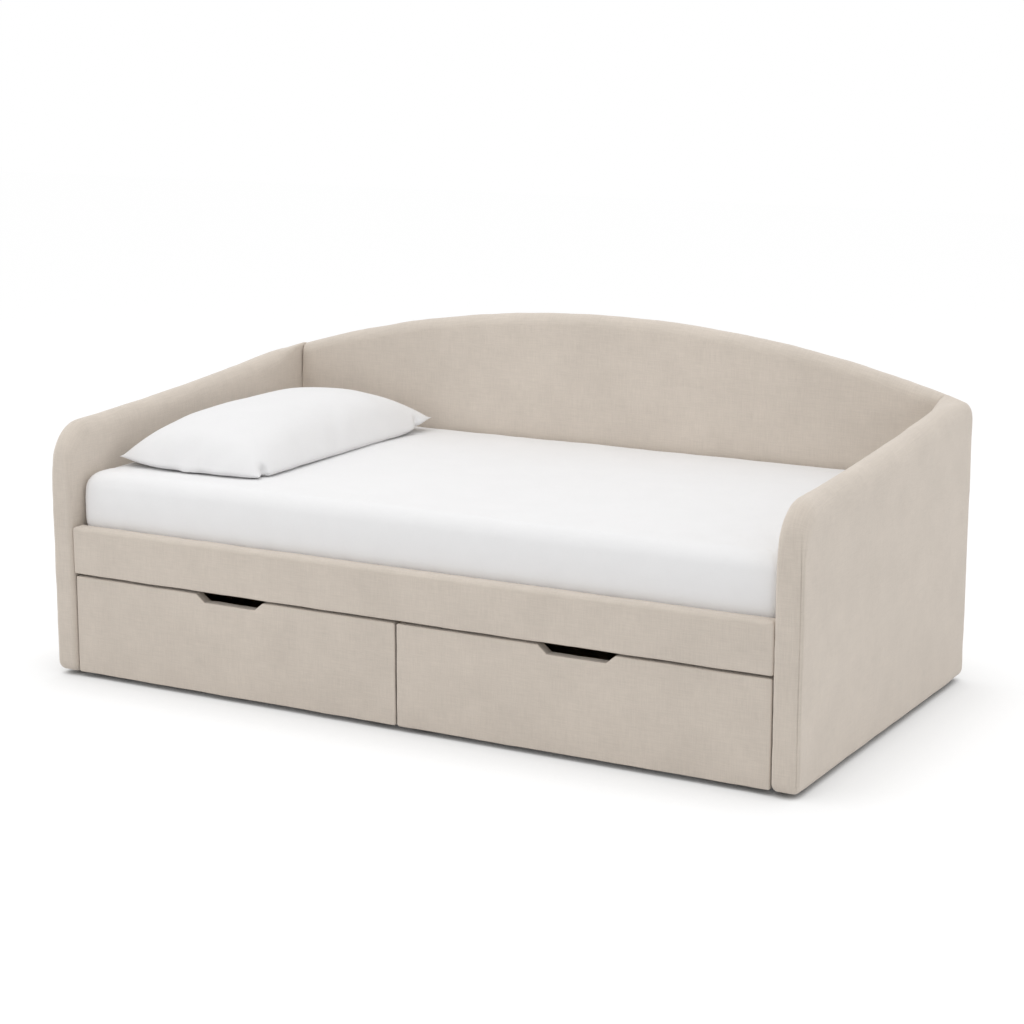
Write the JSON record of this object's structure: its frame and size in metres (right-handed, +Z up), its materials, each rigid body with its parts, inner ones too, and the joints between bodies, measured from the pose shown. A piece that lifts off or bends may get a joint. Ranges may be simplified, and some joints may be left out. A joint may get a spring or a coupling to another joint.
{
  "type": "storage daybed",
  "caption": "Upholstered storage daybed: arched back, sloping rounded arms, slatted base with mattress and pillow, and side-by-side drawers that roll out on casters.",
  "frame": {"origin": "on the floor, at the middle of the length and of the depth", "axes": "+X along the length to the right of someone facing the open front, -Y towards that front, +Z up"},
  "size_m": [2.05, 1.1, 0.8708],
  "materials": {
    "linen": "woven linen look, matte",
    "sheet_cotton": "smooth white cotton",
    "pillow_cotton": "smooth white cotton",
    "mattress_ticking": "knitted mattress ticking",
    "strap_webbing": "flat woven webbing",
    "timber": "planed pine",
    "hardboard": "hardboard",
    "drawer_board": "sanded board",
    "zinc_steel": "zinc plated",
    "glide_plastic": "black moulded",
    "wheel_plastic": "black moulded"
  },
  "bodies": {
    "frame": {"arm_left_cover": "linen", "arm_left_liners": "hardboard", "arm_left_frame": "timber", "arm_right_cover": "linen", "arm_right_liners": "hardboard", "arm_right_frame": "timber", "back_cover": "linen", "back_liners": "hardboard", "back_frame": "timber", "rail_cover": "linen", "rail_board": "timber", "front_ledger": "timber", "rear_ledger": "timber", "ledger_screws": "zinc_steel", "slats": "timber", "slat_straps": "strap_webbing", "centre_beam": "timber", "centre_divider": "drawer_board", "beam_hangers": "zinc_steel", "corner_brackets": "zinc_steel", "frame_bolts": "zinc_steel", "drawer_guides": "timber", "guide_screws": "zinc_steel", "floor_glides": "glide_plastic", "mattress": "mattress_ticking", "fitted_sheet": "sheet_cotton", "pillow": "pillow_cotton"},
    "drawer_left": {"drawer_left_front_board": "drawer_board", "drawer_left_front_cover": "linen", "drawer_left_side_inner": "drawer_board", "drawer_left_side_outer": "drawer_board", "drawer_left_back": "drawer_board", "drawer_left_bottom": "drawer_board", "drawer_left_batten": "timber", "drawer_left_caster_forks": "zinc_steel", "drawer_left_caster_axles": "zinc_steel", "drawer_left_caster_screws": "zinc_steel"},
    "drawer_left_wheel_1": {"drawer_left_wheel_1": "wheel_plastic"},
    "drawer_left_wheel_2": {"drawer_left_wheel_2": "wheel_plastic"},
    "drawer_left_wheel_3": {"drawer_left_wheel_3": "wheel_plastic"},
    "drawer_left_wheel_4": {"drawer_left_wheel_4": "wheel_plastic"},
    "drawer_right": {"drawer_right_front_board": "drawer_board", "drawer_right_front_cover": "linen", "drawer_right_side_inner": "drawer_board", "drawer_right_side_outer": "drawer_board", "drawer_right_back": "drawer_board", "drawer_right_bottom": "drawer_board", "drawer_right_batten": "timber", "drawer_right_caster_forks": "zinc_steel", "drawer_right_caster_axles": "zinc_steel", "drawer_right_caster_screws": "zinc_steel"},
    "drawer_right_wheel_1": {"drawer_right_wheel_1": "wheel_plastic"},
    "drawer_right_wheel_2": {"drawer_right_wheel_2": "wheel_plastic"},
    "drawer_right_wheel_3": {"drawer_right_wheel_3": "wheel_plastic"},
    "drawer_right_wheel_4": {"drawer_right_wheel_4": "wheel_plastic"}
  },
  "joints": [
    {"name": "drawer_left_slide", "type": "slide", "parent": "frame", "child": "drawer_left", "axis": [0, -1, 0], "range_m": [0, 0.54]},
    {"name": "drawer_left_wheel_1_spin", "type": "hinge", "parent": "drawer_left", "child": "drawer_left_wheel_1", "pos_m": [-0.07, -0.455, 0.019], "axis": [1, 0, 0], "continuous": true},
    {"name": "drawer_left_wheel_2_spin", "type": "hinge", "parent": "drawer_left", "child": "drawer_left_wheel_2", "pos_m": [-0.89, -0.455, 0.019], "axis": [1, 0, 0], "continuous": true},
    {"name": "drawer_left_wheel_3_spin", "type": "hinge", "parent": "drawer_left", "child": "drawer_left_wheel_3", "pos_m": [-0.07, 0.025, 0.019], "axis": [1, 0, 0], "continuous": true},
    {"name": "drawer_left_wheel_4_spin", "type": "hinge", "parent": "drawer_left", "child": "drawer_left_wheel_4", "pos_m": [-0.89, 0.025, 0.019], "axis": [1, 0, 0], "continuous": true},
    {"name": "drawer_right_slide", "type": "slide", "parent": "frame", "child": "drawer_right", "axis": [0, -1, 0], "range_m": [0, 0.54]},
    {"name": "drawer_right_wheel_1_spin", "type": "hinge", "parent": "drawer_right", "child": "drawer_right_wheel_1", "pos_m": [0.07, -0.455, 0.019], "axis": [1, 0, 0], "continuous": true},
    {"name": "drawer_right_wheel_2_spin", "type": "hinge", "parent": "drawer_right", "child": "drawer_right_wheel_2", "pos_m": [0.89, -0.455, 0.019], "axis": [1, 0, 0], "continuous": true},
    {"name": "drawer_right_wheel_3_spin", "type": "hinge", "parent": "drawer_right", "child": "drawer_right_wheel_3", "pos_m": [0.07, 0.025, 0.019], "axis": [1, 0, 0], "continuous": true},
    {"name": "drawer_right_wheel_4_spin", "type": "hinge", "parent": "drawer_right", "child": "drawer_right_wheel_4", "pos_m": [0.89, 0.025, 0.019], "axis": [1, 0, 0], "continuous": true}
  ],
  "couplings": [
    {"joint": "drawer_left_wheel_1_spin", "follows": "drawer_left_slide", "rad_per_m": 52.632},
    {"joint": "drawer_left_wheel_2_spin", "follows": "drawer_left_slide", "rad_per_m": 52.632},
    {"joint": "drawer_left_wheel_3_spin", "follows": "drawer_left_slide", "rad_per_m": 52.632},
    {"joint": "drawer_left_wheel_4_spin", "follows": "drawer_left_slide", "rad_per_m": 52.632},
    {"joint": "drawer_right_wheel_1_spin", "follows": "drawer_right_slide", "rad_per_m": 52.632},
    {"joint": "drawer_right_wheel_2_spin", "follows": "drawer_right_slide", "rad_per_m": 52.632},
    {"joint": "drawer_right_wheel_3_spin", "follows": "drawer_right_slide", "rad_per_m": 52.632},
    {"joint": "drawer_right_wheel_4_spin", "follows": "drawer_right_slide", "rad_per_m": 52.632}
  ]
}
